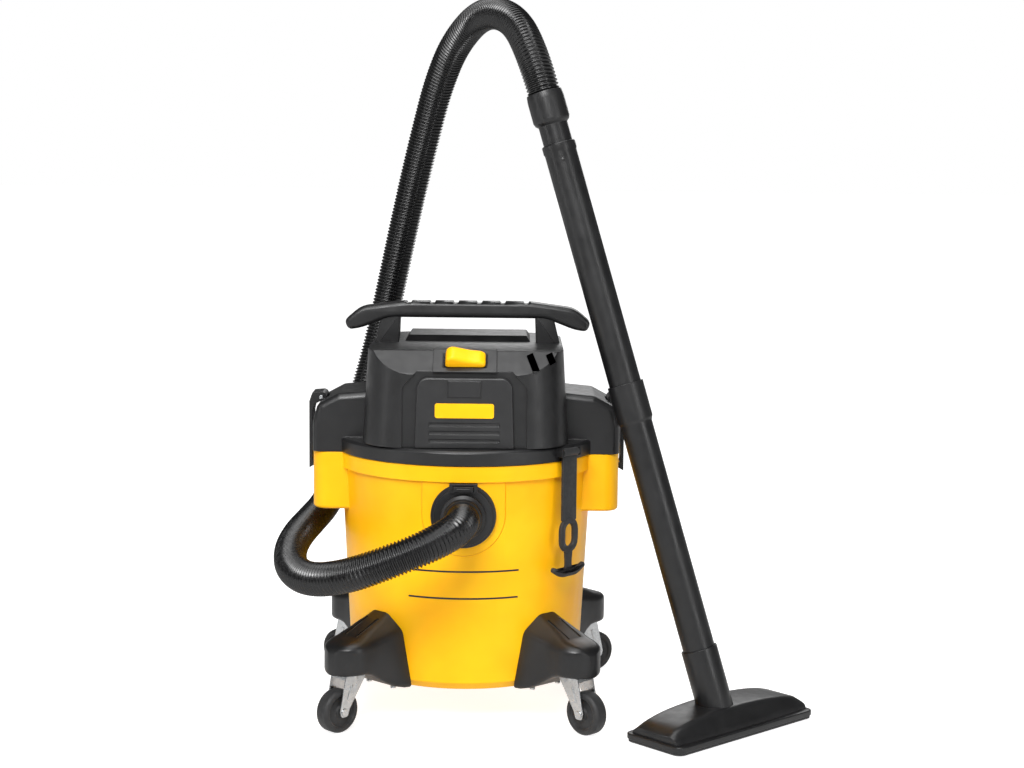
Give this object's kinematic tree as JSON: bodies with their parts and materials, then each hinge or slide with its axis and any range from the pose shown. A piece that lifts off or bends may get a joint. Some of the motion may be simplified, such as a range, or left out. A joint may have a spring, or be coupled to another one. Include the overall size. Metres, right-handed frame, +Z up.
{
  "type": "shop vacuum",
  "caption": "Wet and dry shop vacuum: tapered drum tank on swivel casters, motor head with carrying handle, side latches, corrugated hose, two-piece wand and floor nozzle.",
  "frame": {"origin": "on the floor, under the tank's axis", "axes": "+Z up, the inlet and front panel face -Y, +X to the right seen from the front"},
  "size_m": [0.6787, 0.5185, 0.9074],
  "materials": {
    "yellow_pp": "satin moulded polypropylene",
    "black_pp": "fine-textured moulded polypropylene",
    "wand_pp": "extruded and moulded, semi-gloss",
    "hose_pe": "glossy corrugated polyethylene",
    "black_rubber": "soft matt rubber",
    "wheel_rubber": "moulded wheel",
    "zinc_steel": "bright zinc plated",
    "motor_steel": "laminated steel",
    "impeller_aluminium": "pressed",
    "filter_paper": "pleated",
    "white_pp": "moulded"
  },
  "bodies": {
    "base": {"tank": "yellow_pp", "inlet_port": "black_pp", "inlet_deflector": "black_pp", "hose_coupling": "wand_pp", "hose": "hose_pe", "hose_cuff": "wand_pp", "foot_front_left": "black_pp", "foot_front_right": "black_pp", "foot_rear_left": "black_pp", "foot_rear_right": "black_pp", "foot_screws": "zinc_steel", "caster_stems": "zinc_steel"},
    "head": {"lid": "black_pp", "lid_gasket": "black_rubber", "motor_cover": "black_pp", "front_panel": "black_pp", "badge_plate": "black_pp", "handle": "black_pp", "switch_bezel": "black_pp", "switch_body": "black_pp", "motor_housing": "motor_steel", "motor_end_cap": "motor_steel", "motor_stator": "motor_steel", "bearing_lower": "motor_steel", "bearing_upper": "motor_steel", "blower_housing": "black_pp", "float_cage": "black_pp", "filter_cartridge": "filter_paper", "filter_retainer": "black_pp", "exhaust_port": "black_pp", "cord_gland": "black_rubber", "latch_pins": "zinc_steel", "strap_anchor": "black_pp", "cover_screws": "zinc_steel"},
    "rotor": {"motor_shaft": "motor_steel", "armature": "motor_steel", "impeller": "impeller_aluminium", "cooling_fan": "black_pp"},
    "float": {"float_ball": "white_pp"},
    "rocker": {"power_switch": "yellow_pp"},
    "latch_l": {"latch_left": "black_pp"},
    "latch_r": {"latch_right": "black_pp"},
    "strap": {"storage_strap": "black_rubber"},
    "lock": {"hose_lock_button": "black_pp"},
    "fork_front_left": {"caster_fork_front_left": "zinc_steel", "caster_axle_front_left": "zinc_steel"},
    "wheel_front_left": {"caster_wheel_front_left": "wheel_rubber"},
    "fork_front_right": {"caster_fork_front_right": "zinc_steel", "caster_axle_front_right": "zinc_steel"},
    "wheel_front_right": {"caster_wheel_front_right": "wheel_rubber"},
    "fork_rear_left": {"caster_fork_rear_left": "zinc_steel", "caster_axle_rear_left": "zinc_steel"},
    "wheel_rear_left": {"caster_wheel_rear_left": "wheel_rubber"},
    "fork_rear_right": {"caster_fork_rear_right": "zinc_steel", "caster_axle_rear_right": "zinc_steel"},
    "wheel_rear_right": {"caster_wheel_rear_right": "wheel_rubber"},
    "upper_wand": {"wand_upper": "wand_pp"},
    "lower_wand": {"wand_lower": "wand_pp"},
    "nozzle": {"floor_nozzle": "wand_pp", "nozzle_insert": "black_rubber"}
  },
  "joints": [
    {"name": "lid_lift", "type": "slide", "parent": "base", "child": "head", "axis": [0, 0, 1], "range_m": [0, 0.145]},
    {"name": "power_rock", "type": "hinge", "parent": "head", "child": "rocker", "pos_m": [0, -0.12838, 0.45198], "axis": [0, 0.7557, 0.6549], "range_deg": [-16, 0]},
    {"name": "latch_left_open", "type": "hinge", "parent": "head", "child": "latch_l", "pos_m": [-0.186, 0, 0.397], "axis": [0, 1, 0], "range_deg": [0, 70]},
    {"name": "latch_right_open", "type": "hinge", "parent": "head", "child": "latch_r", "pos_m": [0.186, 0, 0.397], "axis": [0, -1, 0], "range_deg": [0, 70]},
    {"name": "motor_spin", "type": "hinge", "parent": "head", "child": "rotor", "pos_m": [0, 0, 0.38], "axis": [0, 0, 1], "continuous": true},
    {"name": "float_rise", "type": "slide", "parent": "head", "child": "float", "axis": [0, 0, 1], "range_m": [0, 0.052]},
    {"name": "hose_lock_press", "type": "slide", "parent": "base", "child": "lock", "axis": [0, 1, 0], "range_m": [0, 0.003], "stiffness_N_per_m": 400},
    {"name": "strap_swing", "type": "hinge", "parent": "head", "child": "strap", "pos_m": [0.12931, -0.11643, 0.344], "axis": [-0.6691, -0.7431, 0], "range_deg": [0, 90]},
    {"name": "swivel_front_left", "type": "hinge", "parent": "base", "child": "fork_front_left", "pos_m": [-0.14049, -0.15066, 0.07], "axis": [0, 0, 1], "continuous": true},
    {"name": "roll_front_left", "type": "hinge", "parent": "fork_front_left", "child": "wheel_front_left", "pos_m": [-0.15322, -0.16339, 0.027], "axis": [0.7071, -0.7071, 0], "continuous": true},
    {"name": "swivel_front_right", "type": "hinge", "parent": "base", "child": "fork_front_right", "pos_m": [0.14049, -0.15066, 0.07], "axis": [0, 0, 1], "continuous": true},
    {"name": "roll_front_right", "type": "hinge", "parent": "fork_front_right", "child": "wheel_front_right", "pos_m": [0.15322, -0.16339, 0.027], "axis": [0.7071, 0.7071, 0], "continuous": true},
    {"name": "swivel_rear_left", "type": "hinge", "parent": "base", "child": "fork_rear_left", "pos_m": [-0.15781, 0.13241, 0.07], "axis": [0, 0, 1], "continuous": true},
    {"name": "roll_rear_left", "type": "hinge", "parent": "fork_rear_left", "child": "wheel_rear_left", "pos_m": [-0.17339, 0.14141, 0.027], "axis": [-0.5, -0.866, 0], "continuous": true},
    {"name": "swivel_rear_right", "type": "hinge", "parent": "base", "child": "fork_rear_right", "pos_m": [0.15781, 0.13241, 0.07], "axis": [0, 0, 1], "continuous": true},
    {"name": "roll_rear_right", "type": "hinge", "parent": "fork_rear_right", "child": "wheel_rear_right", "pos_m": [0.17339, 0.14141, 0.027], "axis": [-0.5, 0.866, 0], "continuous": true},
    {"name": "upper_wand_pull", "type": "slide", "parent": "base", "child": "upper_wand", "axis": [0.2794, -0.1017, -0.9548], "range_m": [0, 0.03]},
    {"name": "lower_wand_pull", "type": "slide", "parent": "upper_wand", "child": "lower_wand", "axis": [0.2794, -0.1017, -0.9548], "range_m": [0, 0.035]},
    {"name": "nozzle_twist", "type": "hinge", "parent": "lower_wand", "child": "nozzle", "pos_m": [0.313, -0.15, 0.032], "axis": [-0.2794, 0.1017, 0.9548], "range_deg": [-15, 90]}
  ]
}
